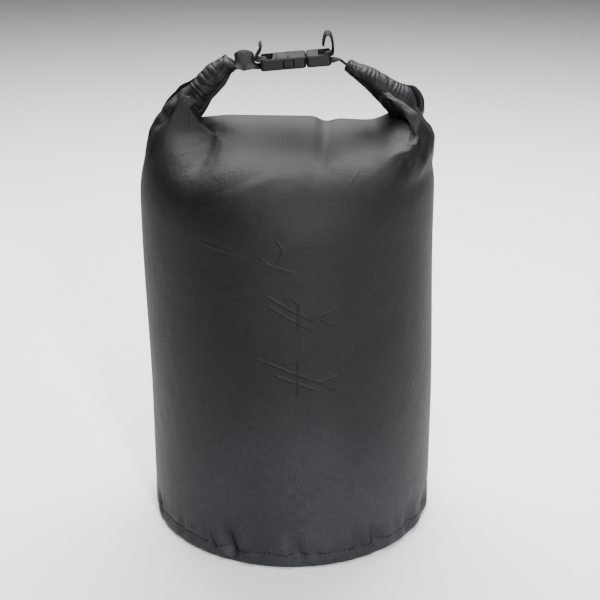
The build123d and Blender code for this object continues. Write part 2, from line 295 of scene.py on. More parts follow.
def gridObject(name, points):
    rows, columns = points.shape[:2]
    faces = []
    for i in range(rows - 1):
        for j in range(columns):
            k = (j + 1) % columns
            faces.append((i * columns + j, i * columns + k, (i + 1) * columns + k, (i + 1) * columns + j))
    mesh = bpy.data.meshes.new(name)
    mesh.from_pydata(points.reshape(-1, 3).tolist(), [], faces)
    piece = bpy.data.objects.new(name, mesh)
    bpy.context.scene.collection.objects.link(piece)
    return piece


relaxing = {
    "frames": 28,
    "quality": 8,
    "mass": 0.1,
    "pressure": 7.0,
    "tension": 60.0,
    "shear": 30.0,
    "bending": 0.7,
    "damping": 10,
    "airDamping": 2,
    "slack": 0.15,
    "slackTops": (0.310, 0.362),  # heights
    "slackEnds": (0.085, 0.135),  # cloth distance from a tip
    "backSlack": 0.2,
    "baseSlack": 0.04,
    "slackBase": (0.02, 0.05),
    "heldBelow": 0.02,
    "shake": 0.0006,
    "seed": 7,
    "most": 0.012,  # no point moves further than this
    # shares of the laid shape that the slope's middle and the lip keep, and the heights between
    "laidMiddle": 0.7,
    "laidLip": 0.75,
    "laidFrom": (0.285, 0.325),
}


def clothSlack(points):
    # spare cloth at the two folds and along the roll ends, none in the middle of the slope
    heights = points[:, :, 2]
    tops = smoothStep(heights, *relaxing["slackTops"])
    ends = 1 - smoothStep(fromTip * halfRound, *relaxing["slackEnds"])
    lowest = smoothStep(heights, *relaxing["slackBase"]) * relaxing["baseSlack"]
    amount = np.where(onFront, 1.0, relaxing["backSlack"])
    return np.clip(tops * ends[None, :] * amount[None, :] + lowest, 0, 1)


def relaxCloth(points):
    piece = gridObject("relaxingCloth", points)
    rows = points.shape[0]
    held = piece.vertex_groups.new(name="held")
    low = [i * around + j for i in range(rows) for j in range(around)
           if points[i, j, 2] < relaxing["heldBelow"]]
    held.add(low + [(rows - 1) * around + j for j in range(around)], 1.0, "REPLACE")
    taut = piece.vertex_groups.new(name="taut")
    for index, slack in enumerate(clothSlack(points).reshape(-1)):
        taut.add([index], 1 - float(slack), "REPLACE")
    cloth = piece.modifiers.new("cloth", "CLOTH")
    setup = cloth.settings
    setup.quality = relaxing["quality"]
    setup.mass = relaxing["mass"]
    setup.tension_stiffness = relaxing["tension"]
    setup.compression_stiffness = relaxing["tension"]
    setup.shear_stiffness = relaxing["shear"]
    setup.bending_stiffness = relaxing["bending"]
    setup.tension_damping = relaxing["damping"]
    setup.compression_damping = relaxing["damping"]
    setup.air_damping = relaxing["airDamping"]
    setup.use_pressure = True
    setup.uniform_pressure_force = relaxing["pressure"]
    setup.effector_weights.gravity = 0
    setup.vertex_group_mass = "held"
    setup.vertex_group_shrink = "taut"
    setup.shrink_min = -relaxing["slack"]
    setup.shrink_max = 0
    cloth.collision_settings.use_collision = False
    cloth.collision_settings.use_self_collision = False
    cloth.point_cache.frame_start = 1
    cloth.point_cache.frame_end = relaxing["frames"]
    random = np.random.default_rng(relaxing["seed"])
    free = clothSlack(points).reshape(-1, 1)
    shaken = points.reshape(-1, 3) + random.normal(0, relaxing["shake"], (rows * around, 3)) * free
    piece.data.vertices.foreach_set("co", shaken.reshape(-1))
    for number in range(1, relaxing["frames"] + 1):
        bpy.context.scene.frame_set(number)
    settled = bpy.data.meshes.new_from_object(piece.evaluated_get(bpy.context.evaluated_depsgraph_get()))
    moved = np.zeros(rows * around * 3)
    settled.vertices.foreach_get("co", moved)
    bpy.context.scene.frame_set(1)
    bpy.data.objects.remove(piece)
    bpy.data.meshes.remove(settled)
    shift = moved.reshape(rows, around, 3) - points
    size = np.linalg.norm(shift, axis=2, keepdims=True)
    return points + shift * np.minimum(1, relaxing["most"] / np.maximum(size, 1e-9))


def keptInside(points):
    # the filled bag is a cylinder that its cloth hardly leaves, and it leans a little near the top
    flat = np.hypot(points[:, :, 0], points[:, :, 1])
    over = np.maximum(flat - bagCloth["girth"], 0)
    share = (flat - over * (1 - bagCloth["give"])) / np.maximum(flat, 1e-6)
    out = points.copy()
    out[:, :, :2] *= share[:, :, None]
    height = points[:, :, 2]
    leaning = smoothStep(height, *bagCloth["leanFrom"]) * (1 - smoothStep(height, *bagCloth["leanUntil"]))
    out[:, :, 0] += bagCloth["lean"] * leaning
    return out


wall = wallShape()
slope, lipShare = slopeShape(wall[-1])
closedCloth = np.concatenate([wall, slope])
settledCloth = relaxCloth(closedCloth)
# the smooth middle of the slope and the lapped shoulder keep most of their laid shape
laid = np.maximum(middleShare * onFront * relaxing["laidMiddle"], lipShare * relaxing["laidLip"])
laid = laid[None, :, None] * smoothStep(closedCloth[:, :, 2:], *relaxing["laidFrom"])
settledCloth = settledCloth * (1 - laid) + closedCloth * laid
print("cloth settled", settledCloth.shape)

# puckers where the wall is sewn to the base: bearing, width, depth and height of each valley
basePuckers = {
    "placed": [(-33, 0.0042, 0.0052, 0.022), (-25, 0.0060, 0.0078, 0.028), (3, 0.0055, 0.0070, 0.022),
               (9, 0.0042, 0.0046, 0.016), (28, 0.0050, 0.0056, 0.026), (36, 0.0060, 0.0068, 0.030)],
    "more": 15,
    "seed": 21,
    "from": 52,
    "to": 305,
    "drift": 6,
    "widths": (0.004, 0.007),
    "depths": (0.0020, 0.0048),
    "heights": (0.014, 0.026),
    "slant": 0.25,
    "shallow": 0.003,  # valleys shallower than this slant the other way
    "seamHeight": 0.015,
    "full": (0.010, 0.016),  # the heights between which a valley has its whole depth
    "rims": (0.45, 1.9),  # how high the cloth beside a valley stands, and how far out, in valley widths
}


def puckeredCloth(points):
    random = np.random.default_rng(basePuckers["seed"])
    puckers = list(basePuckers["placed"])
    bearings = np.linspace(basePuckers["from"], basePuckers["to"], basePuckers["more"])
    for bearing in bearings:
        puckers.append((bearing + random.uniform(-basePuckers["drift"], basePuckers["drift"]),
                        random.uniform(*basePuckers["widths"]), random.uniform(*basePuckers["depths"]),
                        random.uniform(*basePuckers["heights"])))
    out = points.copy()
    bearing = np.arctan2(points[:, :, 0], -points[:, :, 1])
    height = points[:, :, 2]
    pull = np.zeros_like(height)
    rim, rimAt = basePuckers["rims"]
    low, high = basePuckers["full"]
    for angle, width, depth, tall in puckers:
        away = (bearing - math.radians(angle) + math.pi) % (2 * math.pi) - math.pi
        slant = basePuckers["slant"] * np.sign(depth - basePuckers["shallow"])
        away = away * bagRadius + (height - basePuckers["seamHeight"]) * slant
        valley = np.exp(-(away / width) ** 2) - rim * np.exp(-((np.abs(away) - rimAt * width) / width) ** 2)
        level = smoothStep(height, 0.0, low) * (1 - smoothStep(height, high, high + tall))
        pull += depth * valley * level
    flat = np.hypot(points[:, :, 0], points[:, :, 1])
    flat = np.maximum(flat, 1e-6)
    out[:, :, 0] *= (flat - pull) / flat
    out[:, :, 1] *= (flat - pull) / flat
    return out


settledCloth = puckeredCloth(keptInside(settledCloth))


def rollRows():
    # the front panel goes on over the roll and winds inwards
    front = slice(0, half + 1)
    at, centre, up = mouthAt[front], mouthCentre[front], mouthUp[front]
    thick, wide, start = mouthThick[front], mouthWide[front], mouthAngle[front]
    fade = rolledMouth["ripplesFade"]
    atEnds = 1 - smoothStep(np.minimum(at - leftFoldAt, rightFoldAt - at), -fade, fade)
    size = np.where(at < mouthLength / 2, rolledMouth["leftRipple"], rolledMouth["rightRipple"])
    coarse, close = rolledMouth["rippleTurns"]
    rows = []
    for k in range(1, rolledMouth["rows"] + 1):
        angle = start + math.radians(rolledMouth["rowTurn"] * k)
        # two sets of ripples that drift along the roll as they go round it
        ripple = np.sin(at * coarse + 2.2 * np.sin(angle))
        ripple = ripple + 0.7 * np.sin(at * close - 1.7 * np.sin(angle * 2 + 1))
        grow = 1 - rolledMouth["rowShrink"] * k
        lift = rolledMouth["endRipple"] * ripple * atEnds * min(1, k / 4) * size
        rows.append(onMouth(centre, up, thick * grow + lift, wide * grow + lift, angle))
    return np.array(rows)


def meshOfCloth(name, points, rolled):
    rows = points.shape[0]
    front = half + 1
    vertices = [points.reshape(-1, 3), rolled.reshape(-1, 3)]
    base = rows * around
    faces = []
    uvs = []
    lengths = pathLength(points[:, around // 4])
    column = 2 * halfRound / around
    for i in range(rows - 1):
        for j in range(around):
            k = (j + 1) % around
            faces.append((i * around + j, i * around + k, (i + 1) * around + k, (i + 1) * around + j))
            u, v, w, z = j * column, (j + 1) * column, lengths[i], lengths[i + 1]
            uvs += [(u, w), (v, w), (v, z), (u, z)]
    rollStep = rolledMouth["rowCloth"]

    def rollIndex(k, j):
        return (rows - 1) * around + j if k == 0 else base + (k - 1) * front + j

    for k in range(rolledMouth["rows"]):
        for j in range(half):
            faces.append((rollIndex(k, j), rollIndex(k, j + 1), rollIndex(k + 1, j + 1), rollIndex(k + 1, j)))
            u, v = j * column, (j + 1) * column
            w, z = lengths[-1] + k * rollStep, lengths[-1] + (k + 1) * rollStep
            uvs += [(u, w), (v, w), (v, z), (u, z)]
    # the two tips close on a point drawn a little way in
    inset = rolledMouth["tipInset"]
    centres = np.array([leftTip - leftWay * inset, rightTip - rightWay * inset])
    vertices.append(centres)
    tipBase = base + rolledMouth["rows"] * front
    for k in range(rolledMouth["rows"] + 1):
        following = (k + 1) % (rolledMouth["rows"] + 1)
        faces.append((rollIndex(k, 0), rollIndex(following, 0), tipBase))
        faces.append((rollIndex(following, half), rollIndex(k, half), tipBase + 1))
        uvs += [(0, 0), (0, rollStep), (rollStep, 0)] * 2
    mesh = bpy.data.meshes.new(name)
    mesh.from_pydata(np.concatenate(vertices).tolist(), [], faces)
    layer = mesh.uv_layers.new(name="cloth")
    layer.data.foreach_set("uv", np.array(uvs).reshape(-1))
    return mesh


def evaluatedMesh(piece, name):
    # the modifiers' result as a plain mesh on the same object
    result = bpy.data.meshes.new_from_object(piece.evaluated_get(bpy.context.evaluated_depsgraph_get()))
    piece.modifiers.clear()
    piece.data = result
    result.name = name
    return result


def linked(name, mesh):
    piece = bpy.data.objects.new(name, mesh)
    bpy.context.scene.collection.objects.link(piece)
    return piece


def shadeSmooth(mesh):
    mesh.polygons.foreach_set("use_smooth", [True] * len(mesh.polygons))


def subdivided(piece, levels=1):
    finer = piece.modifiers.new("finer", "SUBSURF")
    finer.levels = levels
    finer.render_levels = levels
    return evaluatedMesh(piece, piece.name)


wholeCloth = linked("wholeCloth", meshOfCloth("wholeCloth", settledCloth, rollRows()))
subdivided(wholeCloth)
shadeSmooth(wholeCloth.data)
print("cloth mesh has", len(wholeCloth.data.polygons), "faces")

# the cloth is cut where the roll ends start to swing, into the body and the two shoulders
shoulders = {
    "low": 0.318,
    "inner": 0.058,
    "leftStart": 0.350,
    "leftEnd": 0.368,
    "rightStart": 0.356,
    "rightEnd": 0.378,
}


def splitCloth(whole, sides):
    # pieces keep the whole cloth's shading normals, so the cuts don't show
    source = whole.data
    count = len(source.vertices)
    places = np.zeros(count * 3)
    source.vertices.foreach_get("co", places)
    places = places.reshape(-1, 3)
    normals = np.zeros(count * 3)
    source.vertices.foreach_get("normal", normals)
    normals = normals.reshape(-1, 3)
    layer = source.uv_layers["cloth"].data
    groups = {name: [] for name in sides}
    for face in source.polygons:
        centre = face.center
        if centre.z > shoulders["low"] and centre.x < -shoulders["inner"]:
            groups["leftShoulder"].append(face)
        elif centre.z > shoulders["low"] and centre.x > shoulders["inner"]:
            groups["rightShoulder"].append(face)
        elif centre.z > shoulders["leftStart"]:
            groups["leftShoulder" if centre.x < 0 else "rightShoulder"].append(face)
        else:
            groups["bagBody"].append(face)
    made = {}
    for name, faces in groups.items():
        used = sorted({v for face in faces for v in face.vertices})
        index = {v: i for i, v in enumerate(used)}
        mesh = bpy.data.meshes.new(name)
        mesh.from_pydata(places[used].tolist(), [], [[index[v] for v in face.vertices] for face in faces])
        uv = mesh.uv_layers.new(name="cloth")
        uv.data.foreach_set("uv", [c for face in faces for l in face.loop_indices for c in layer[l].uv])
        shadeSmooth(mesh)
        mesh.normals_split_custom_set_from_vertices(normals[used].tolist())
        made[name] = linked(name, mesh)
    bpy.data.objects.remove(whole)
    return made


clothPieces = splitCloth(wholeCloth, ["bagBody", "leftShoulder", "rightShoulder"])
bagBody, leftShoulder, rightShoulder = (clothPieces[n] for n in ("bagBody", "leftShoulder", "rightShoulder"))
for piece in clothPieces.values():
    print(piece.name, len(piece.data.polygons), "faces")

# round base: flat, with a soft rim that meets the wall's bottom edge
baseDisc = {
    "rings": [0.0, 0.02, 0.045, 0.07, 0.09, 0.103, 0.110, 0.1146],
    "heights": [0.0016, 0.0016, 0.0014, 0.0012, 0.0008, 0.0004, 0.0002, 0.0],
    "columns": 96,
}


def makeBase():
    columns = baseDisc["columns"]
    angle = np.arange(columns) * 2 * math.pi / columns
    vertices = [(0, 0, baseDisc["heights"][0])]
    faces = []
    for ring, (radius, height) in enumerate(zip(baseDisc["rings"][1:], baseDisc["heights"][1:])):
        wave = 0.0002 * np.sin(angle * 5 + ring) * (radius < 0.11)
        vertices += [(radius * math.cos(a), radius * math.sin(a), height + w) for a, w in zip(angle, wave)]
        for j in range(columns):
            k = (j + 1) % columns
            if ring == 0:
                faces.append((0, 1 + k, 1 + j))
            else:
                inner, outer = 1 + (ring - 1) * columns, 1 + ring * columns
                faces.append((inner + j, inner + k, outer + k, outer + j))
    mesh = bpy.data.meshes.new("baseCloth")
    mesh.from_pydata(vertices, [], faces)
    piece = linked("baseCloth", mesh)
    subdivided(piece)
    shadeSmooth(piece.data)
    return piece


baseCloth = makeBase()
print("base made")

# stitches: one tree for every row, set along a path that carries the cloth's outward direction
stitchSizes = {"pitch": 0.0036, "length": 0.0026, "radius": 0.00046, "proud": 0.0003}


def stitchTree():
    tree = bpy.data.node_groups.new("stitchRow", "GeometryNodeTree")
    face = tree.interface
    face.new_socket("Path", in_out="INPUT", socket_type="NodeSocketGeometry")
    for name in ("Pitch", "Stitch Length", "Thread Radius"):
        face.new_socket(name, in_out="INPUT", socket_type="NodeSocketFloat")
    face.new_socket("Thread", in_out="INPUT", socket_type="NodeSocketMaterial")
    face.new_socket("Stitches", in_out="OUTPUT", socket_type="NodeSocketGeometry")
    make = tree.nodes.new
    start, end = make("NodeGroupInput"), make("NodeGroupOutput")
    line = make("GeometryNodeMeshToCurve")
    even = make("GeometryNodeResampleCurve")
    even.mode = "LENGTH"
    points = make("GeometryNodeCurveToPoints")
    points.mode = "EVALUATED"
    outward = make("GeometryNodeInputNamedAttribute")
    outward.data_type = "FLOAT_VECTOR"
    outward.inputs["Name"].default_value = "outward"
    facing = make("FunctionNodeAxesToRotation")
    facing.primary_axis = "X"
    facing.secondary_axis = "Z"
    thread = make("GeometryNodeMeshUVSphere")
    thread.inputs["Segments"].default_value = 8
    thread.inputs["Rings"].default_value = 5
    thread.inputs["Radius"].default_value = 1
    halfLength = make("ShaderNodeMath")
    halfLength.operation = "MULTIPLY"
    halfLength.inputs[1].default_value = 0.5
    size = make("ShaderNodeCombineXYZ")
    copies = make("GeometryNodeInstanceOnPoints")
    real = make("GeometryNodeRealizeInstances")
    finish = make("GeometryNodeSetMaterial")
    wires = [
        (start, "Path", line, "Mesh"), (line, "Curve", even, "Curve"), (start, "Pitch", even, "Length"),
        (even, "Curve", points, "Curve"), (points, "Tangent", facing, "Primary Axis"),
        (outward, "Attribute", facing, "Secondary Axis"), (start, "Stitch Length", halfLength, 0),
        (halfLength, 0, size, "X"), (start, "Thread Radius", size, "Y"), (start, "Thread Radius", size, "Z"),
        (points, "Points", copies, "Points"), (thread, "Mesh", copies, "Instance"),
        (facing, "Rotation", copies, "Rotation"), (size, "Vector", copies, "Scale"),
        (copies, "Instances", real, "Geometry"), (real, "Geometry", finish, "Geometry"),
        (start, "Thread", finish, "Material"), (finish, "Geometry", end, "Stitches"),
    ]
    for source, output, target, socket in wires:
        tree.links.new(source.outputs[output], target.inputs[socket])
    return tree


def stitchRow(name, runs, tree, material):
    # runs is a list of (points, outward directions, closed)
    places, outwards, edges = [], [], []
    for points, outward, closed in runs:
        first = len(places)
        places += [tuple(p + n * stitchSizes["proud"]) for p, n in zip(points, outward)]
        outwards += [tuple(n) for n in outward]
        edges += [(first + i, first + i + 1) for i in range(len(points) - 1)]
        if closed:
            edges.append((first + len(points) - 1, first))
    mesh = bpy.data.meshes.new(name)
    mesh.from_pydata(places, edges, [])
    attribute = mesh.attributes.new("outward", "FLOAT_VECTOR", "POINT")
    attribute.data.foreach_set("vector", np.array(outwards).reshape(-1))
    piece = linked(name, mesh)
    modifier = piece.modifiers.new("stitches", "NODES")
    modifier.node_group = tree
    wanted = {"Pitch": stitchSizes["pitch"], "Stitch Length": stitchSizes["length"],
              "Thread Radius": stitchSizes["radius"], "Thread": material}
    for item in tree.interface.items_tree:
        if item.in_out == "INPUT" and item.name in wanted:
            modifier[item.identifier] = wanted[item.name]
    evaluatedMesh(piece, name)
    shadeSmooth(piece.data)
    return piece


# procedural finishes
def newMaterial(name, colour, roughness, **more):
    material = bpy.data.materials.new(name)
    material.use_nodes = True
    shader = material.node_tree.nodes["Principled BSDF"]
    shader.inputs["Base Color"].default_value = (*colour, 1)
    shader.inputs["Roughness"].default_value = roughness
    for socket, value in more.items():
        shader.inputs[socket.replace("_", " ")].default_value = value
    return material, material.node_tree, shader


def mathNode(tree, operation, first, second=None, third=None):
    node = tree.nodes.new("ShaderNodeMath")
    node.operation = operation
    for socket, value in zip(node.inputs, (first, second, third)):
        if value is None:
            continue
        if isinstance(value, (int, float)):
            socket.default_value = value
        else:
            tree.links.new(value, socket)
    return node.outputs[0]


def spread(tree, value, fromLow, fromHigh, toLow, toHigh, kind="LINEAR"):
    node = tree.nodes.new("ShaderNodeMapRange")
    node.interpolation_type = kind
    tree.links.new(value, node.inputs["Value"])
    sockets = ("From Min", "From Max", "To Min", "To Max")
    for name, number in zip(sockets, (fromLow, fromHigh, toLow, toHigh)):
        node.inputs[name].default_value = number
    return node.outputs["Result"]


def noise(tree, place, scale, detail=2.0, distortion=0.0):
    node = tree.nodes.new("ShaderNodeTexNoise")
    node.inputs["Scale"].default_value = scale
    node.inputs["Detail"].default_value = detail
    node.inputs["Distortion"].default_value = distortion
    tree.links.new(place, node.inputs["Vector"])
    return node.outputs["Fac"]


def bump(tree, height, distance, below=None, strength=1.0):
    node = tree.nodes.new("ShaderNodeBump")
    node.inputs["Distance"].default_value = distance
    node.inputs["Strength"].default_value = strength
    tree.links.new(height, node.inputs["Height"])
    if below is not None:
        tree.links.new(below, node.inputs["Normal"])
    return node.outputs["Normal"]


def coordinates(tree, kind):
    return tree.nodes.new("ShaderNodeTexCoord").outputs[kind]


def separated(tree, vector):
    node = tree.nodes.new("ShaderNodeSeparateXYZ")
    tree.links.new(vector, node.inputs[0])
    return node.outputs


def toneRamp(tree, value, dark, light, start=0.0, end=1.0):
    node = tree.nodes.new("ShaderNodeValToRGB")
    for stop, colour, place in zip(node.color_ramp.elements, (dark, light), (start, end)):
        stop.color = colour
        stop.position = place
    tree.links.new(value, node.inputs["Fac"])
    return node.outputs["Color"]


def stretched(tree, place, scales):
    node = tree.nodes.new("ShaderNodeVectorMath")
    node.operation = "MULTIPLY"
    tree.links.new(place, node.inputs[0])
    node.inputs[1].default_value = scales
    return node.outputs[0]


# creases left from packing, as (x, z) ends on the front, half width and rise, in millimetres
foldMarks = [
    (-66, 280, -28, 271, 1.6, 0.50), (-28, 271, 4, 262, 1.6, 0.42), (-9, 287, -4, 280, 1.2, 0.40),
    (-4, 280, -8, 272, 1.2, 0.35), (-22, 273, -16, 269, 1.2, 0.40), (-18, 243, 22, 219, 1.3, 0.55),
    (-17, 235, 19, 213, 1.3, 0.45), (6.5, 240, 6.5, 214, 1.1, 0.50), (-4, 239, 2, 242, 1.1, 0.40),
    (2, 242, 6, 237, 1.1, 0.40), (22, 225, 38, 231, 1.2, 0.45), (22, 224, 34, 216, 1.2, 0.35),
    (-32, 193, 27, 169, 1.3, 0.55), (-14, 178, 24, 163, 1.3, 0.40), (6.5, 190, 6.5, 158, 1.1, 0.50),
    (-5, 186, 3, 189, 1.1, 0.40), (23, 170, 39, 175, 1.2, 0.45), (24, 169, 35, 161, 1.2, 0.35),
    (46, 324, 53, 332, 1.4, 0.45), (27, 333, 37, 338, 1.4, 0.45), (37, 338, 45, 334, 1.4, 0.40),
    (-72, 304, -8, 331, 5.0, 0.60), (-60, 240, -24, 252, 4.0, 0.30), (52, 250, 76, 214, 4.5, 0.30),
]


def foldMarkGroup():
    tree = bpy.data.node_groups.new("foldMark", "ShaderNodeTree")
    face = tree.interface
    for name in ("X", "Z", "Start X", "Start Z", "Run X", "Run Z", "Width", "Rise"):
        face.new_socket(name, in_out="INPUT", socket_type="NodeSocketFloat")
    face.new_socket("Height", in_out="OUTPUT", socket_type="NodeSocketFloat")
    start, end = tree.nodes.new("NodeGroupInput"), tree.nodes.new("NodeGroupOutput")
    read = start.outputs
    dx = mathNode(tree, "SUBTRACT", read["X"], read["Start X"])
    dz = mathNode(tree, "SUBTRACT", read["Z"], read["Start Z"])
    runX, runZ = read["Run X"], read["Run Z"]

    def product(ax, ay, bx, by):
        return mathNode(tree, "MULTIPLY_ADD", ay, by, mathNode(tree, "MULTIPLY", ax, bx))

    along = mathNode(tree, "DIVIDE", product(dx, dz, runX, runZ), product(runX, runZ, runX, runZ))
    share = mathNode(tree, "MINIMUM", mathNode(tree, "MAXIMUM", along, 0.0), 1.0)
    offX = mathNode(tree, "SUBTRACT", dx, mathNode(tree, "MULTIPLY", share, runX))
    offZ = mathNode(tree, "SUBTRACT", dz, mathNode(tree, "MULTIPLY", share, runZ))
    away = mathNode(tree, "SQRT", product(offX, offZ, offX, offZ))
    near = spread(tree, mathNode(tree, "DIVIDE", away, read["Width"]), 0, 1, 1, 0, "SMOOTHSTEP")
    # each mark fades out at its two ends
    middle = mathNode(tree, "MULTIPLY", share, mathNode(tree, "SUBTRACT", 1.0, share))
    fade = mathNode(tree, "MINIMUM", mathNode(tree, "MULTIPLY_ADD", middle, 6.0, 0.25), 1.0)
    rise = mathNode(tree, "MULTIPLY", mathNode(tree, "MULTIPLY", near, fade), read["Rise"])
    tree.links.new(rise, end.inputs["Height"])
    return tree


# the coated cloth: lengths are in metres
polyester = {
    "colour": (0.0038, 0.0041, 0.0050),
    "dark": (0.0032, 0.0034, 0.0039, 1),
    "light": (0.0049, 0.0052, 0.0059, 1),
    "roughness": (0.54, 0.60),
    "specular": 0.13,
    "threadPitch": 0.0009,
    "threadDepth": 0.00003,
    "weaveGloss": 0.012,
    "slubLength": 7,  # times their width
    "slubDepth": 0.00016,
    "flecks": (0.76, 1.24),
    "paintedBounce": 3.4,  # how much lighter the foot of the wall is painted: painted light bounced up from the floor
    "paintedBounceUntil": 0.20,
    "wobble": 0.0022,
    "markWidth": 1.25,
    "markRise": 0.85,
    "faintRise": 0.3,
    "faintAbove": 320,  # millimetres
    "markDepth": 0.0014,
    "scrunchPitch": 0.013,
    "scrunchDepth": 0.0011,
    "scrunchEnds": (0.055, 0.095),  # cloth distance from a tip
    "scrunchFrom": (0.395, 0.415),  # cloth distance from the base
    "softDepth": 0.0011,
    "rippleDepth": 0.00012,
}


def wobblyPlace(tree, place):
    unevenness = tree.nodes.new("ShaderNodeTexNoise")
    unevenness.inputs["Scale"].default_value = 60
    tree.links.new(place, unevenness.inputs["Vector"])
    wobble = tree.nodes.new("ShaderNodeVectorMath")
    wobble.operation = "MULTIPLY_ADD"
    tree.links.new(unevenness.outputs["Color"], wobble.inputs[0])
    wobble.inputs[1].default_value = (polyester["wobble"],) * 3
    tree.links.new(place, wobble.inputs[2])
    return separated(tree, wobble.outputs[0])


def packingCreases(tree, parts):
    group = foldMarkGroup()
    total = None
    for x, z, endX, endZ, width, rise in foldMarks:
        faint = z > polyester["faintAbove"]
        mark = tree.nodes.new("ShaderNodeGroup")
        mark.node_tree = group
        tree.links.new(parts["X"], mark.inputs["X"])
        tree.links.new(parts["Z"], mark.inputs["Z"])
        width = width * polyester["markWidth"]
        numbers = (("Start X", x), ("Start Z", z), ("Run X", endX - x), ("Run Z", endZ - z), ("Width", width))
        for name, number in numbers:
            mark.inputs[name].default_value = number / 1000
        mark.inputs["Rise"].default_value = rise * polyester["faintRise" if faint else "markRise"]
        total = mark.outputs[0] if total is None else mathNode(tree, "ADD", total, mark.outputs[0])
    front = spread(tree, parts["Y"], -0.03, 0.0, 1, 0)
    return mathNode(tree, "MULTIPLY", total, front)


def scrunchedEnds(tree, cloth, threads):
    # short creases across the roll's two ends, where the cloth runs to a tip
    bend = mathNode(tree, "MULTIPLY", noise(tree, cloth, 30, 1), 11.0)
    turns = 2 * math.pi / polyester["scrunchPitch"]
    wave = mathNode(tree, "SINE", mathNode(tree, "MULTIPLY_ADD", threads["X"], turns, bend))
    patchy = spread(tree, noise(tree, cloth, 70, 2), 0.35, 0.65, 0.15, 1)
    ridge = mathNode(tree, "MULTIPLY", mathNode(tree, "ABSOLUTE", wave), patchy)
    fromTips = mathNode(tree, "PINGPONG", threads["X"], halfRound / 2)
    atEnd = spread(tree, fromTips, *polyester["scrunchEnds"], 1, 0, "SMOOTHSTEP")
    high = spread(tree, threads["Y"], *polyester["scrunchFrom"], 0, 1, "SMOOTHSTEP")
    return mathNode(tree, "MULTIPLY", ridge, mathNode(tree, "MULTIPLY", atEnd, high))


def coatedPolyester():
    roughness = polyester["roughness"]
    material, tree, shader = newMaterial("coatedPolyester", polyester["colour"], sum(roughness) / 2,
                                         Specular_IOR_Level=polyester["specular"])
    place, cloth = coordinates(tree, "Object"), coordinates(tree, "UV")
    parts, threads = wobblyPlace(tree, place), separated(tree, cloth)
    marks = packingCreases(tree, parts)
    scrunch = scrunchedEnds(tree, cloth, threads)
    # woven threads under the coating: two crossed sets of ribs that follow the cloth
    turns = 2 * math.pi / polyester["threadPitch"]
    ribs = [mathNode(tree, "SINE", mathNode(tree, "MULTIPLY", threads[axis], turns)) for axis in ("X", "Y")]
    weave = mathNode(tree, "MULTIPLY", ribs[0], ribs[1])
    # uneven threads show as short streaks along both directions of the weave
    length = polyester["slubLength"]
    slubs = mathNode(tree, "ADD", noise(tree, stretched(tree, cloth, (1, length, 1)), 130, 2),
                     noise(tree, stretched(tree, cloth, (length, 1, 1)), 130, 2))
    below = bump(tree, noise(tree, place, 38, 3), polyester["softDepth"])
    for height, depth in ((scrunch, "scrunchDepth"), (noise(tree, place, 260, 2), "rippleDepth"),
                          (marks, "markDepth"), (slubs, "slubDepth"), (weave, "threadDepth")):
        below = bump(tree, height, polyester[depth], below)
    tree.links.new(below, shader.inputs["Normal"])
    patch = noise(tree, place, 14, 4)
    gloss = mathNode(tree, "ADD", spread(tree, patch, 0.3, 0.7, *roughness),
                     mathNode(tree, "MULTIPLY", weave, polyester["weaveGloss"]))
    tree.links.new(gloss, shader.inputs["Roughness"])
    tone = toneRamp(tree, patch, polyester["dark"], polyester["light"], 0.35, 0.65)
    # painted floor-bounce light: the cloth's colour is painted lighter low on the wall, where light bounced
    # from the floor falls
    paintedBounceLight = spread(tree, parts["Z"], 0.01, polyester["paintedBounceUntil"], polyester["paintedBounce"], 1.0, "SMOOTHSTEP")
    flecks = spread(tree, slubs, 0.75, 1.25, *polyester["flecks"])
    lighter = tree.nodes.new("ShaderNodeVectorMath")
    lighter.operation = "SCALE"
    tree.links.new(tone, lighter.inputs[0])
    tree.links.new(mathNode(tree, "MULTIPLY", paintedBounceLight, flecks), lighter.inputs["Scale"])
    tree.links.new(lighter.outputs[0], shader.inputs["Base Color"])
    return material


nylon = {
    "colour": (0.0035, 0.0035, 0.0042),
    "dark": (0.0018, 0.0018, 0.0024, 1),
    "light": (0.0060, 0.0060, 0.0074, 1),
    "roughness": 0.65,
    "specular": 0.1,
    "ribPitch": 0.0011,
    "pickPitch": 0.0016,
    "depth": 0.00016,
}


def webbingFinish():
    material, tree, shader = newMaterial("nylonWebbing", nylon["colour"], nylon["roughness"],
                                         Specular_IOR_Level=nylon["specular"])
    cloth = separated(tree, coordinates(tree, "UV"))
    ribs = mathNode(tree, "SINE", mathNode(tree, "MULTIPLY", cloth["X"], 2 * math.pi / nylon["ribPitch"]))
    crossing = mathNode(tree, "MULTIPLY_ADD", cloth["Y"], 2 * math.pi / nylon["pickPitch"], ribs)
    height = mathNode(tree, "MULTIPLY_ADD", mathNode(tree, "SINE", crossing), 0.5, ribs)
    tree.links.new(bump(tree, height, nylon["depth"]), shader.inputs["Normal"])
    # painted shade: the webbing's colour is darker in the weave's hollows and lighter on its raised ribs
    share = spread(tree, height, -1.5, 1.5, 0, 1)
    tree.links.new(toneRamp(tree, share, nylon["dark"], nylon["light"]), shader.inputs["Base Color"])
    return material


# moulded plastic, thread and tape: a fine grain, and a roughness that varies in patches
grainedFinishes = {
    "mouldedPlastic": {
        "colour": (0.0022, 0.0022, 0.0026), "roughness": (0.34, 0.48), "specular": 0.14,
        "grain": (2600, 2), "depth": 0.00004, "patches": (120, 4, 0.6), "contrast": (0.35, 0.7),
    },
    "polyesterThread": {
        "colour": (0.002, 0.002, 0.002), "roughness": (0.62, 0.78), "specular": 0.1,
        "grain": (3000, 2), "depth": 0.00008, "patches": (3000, 2), "contrast": (0.3, 0.7),
    },
    "seamTape": {
        "colour": (0.03, 0.03, 0.033), "roughness": (0.2, 0.34), "specular": 0.5,
        "grain": (200, 3), "depth": 0.0001, "patches": (200, 3), "contrast": (0.3, 0.7),
    },
}


